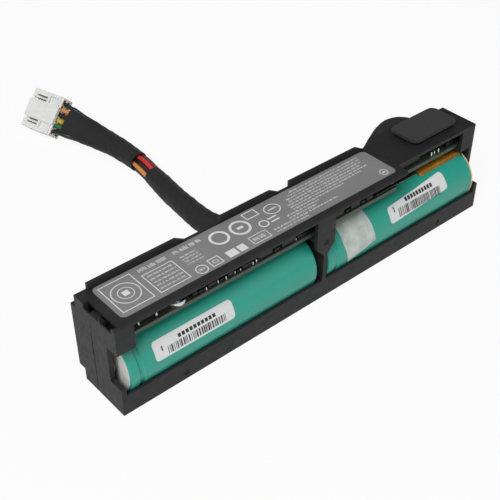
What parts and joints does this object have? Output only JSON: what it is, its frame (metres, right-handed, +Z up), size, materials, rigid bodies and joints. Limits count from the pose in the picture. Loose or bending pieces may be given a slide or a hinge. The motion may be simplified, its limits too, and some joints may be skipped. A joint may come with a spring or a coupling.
{
  "type": "raid battery module",
  "caption": "Backup battery module: a long open moulded frame with round cells end to end, a circuit board under a labelled deck, a rubber pad and a taped cable with a white connector.",
  "frame": {"origin": "on the underside, in the middle of the length and under the cells' centre line", "axes": "+X along the body from the end with the latch pockets to the end with the pad, +Y from the open front to the closed rear wall, where the cable leaves, +Z up"},
  "size_m": [0.138, 0.1389, 0.031],
  "materials": {
    "frame_black": "fine matt texture",
    "can_steel": "nickel-plated",
    "wrap_green": "satin shrink film",
    "disc_white": "matt card",
    "ring_cream": "matt card",
    "nickel": "rolled strip",
    "film_amber": "clear amber film",
    "board": "solder mask",
    "chip_black": "moulded package",
    "chip_brown": "ceramic",
    "solder": "bright",
    "label_grey": "satin film",
    "label_white": "satin film",
    "tape_white": "matt tape",
    "pad_film": "adhesive film",
    "pad_foam": "foam",
    "pad_rubber": "matt",
    "lead_red": "wire insulation",
    "cord_tape": "cloth tape",
    "connector_white": "moulded nylon",
    "contact_tin": "plated"
  },
  "bodies": {
    "root": {"frame_front": "frame_black", "frame_rear": "frame_black", "cell_left_can": "can_steel", "cell_right_can": "can_steel", "cell_left_wrap": "wrap_green", "cell_right_wrap": "wrap_green", "cell_left_disc": "disc_white", "cell_right_ring": "ring_cream", "tab_left": "nickel", "tab_middle": "nickel", "tab_right": "nickel", "film_strip": "film_amber", "circuit_board": "board", "board_chips": "chip_black", "board_parts": "chip_brown", "solder_joints": "solder", "spring_clip": "solder", "top_label": "label_grey", "cell_label_left": "label_white", "cell_label_right": "label_white", "cell_tape": "tape_white", "pad_film": "pad_film", "pad_foam": "pad_foam", "pad_cap": "pad_rubber", "lead_tails": "lead_red", "harness_cord": "cord_tape", "connector_housing": "connector_white", "connector_contacts": "contact_tin"}
  },
  "joints": []
}
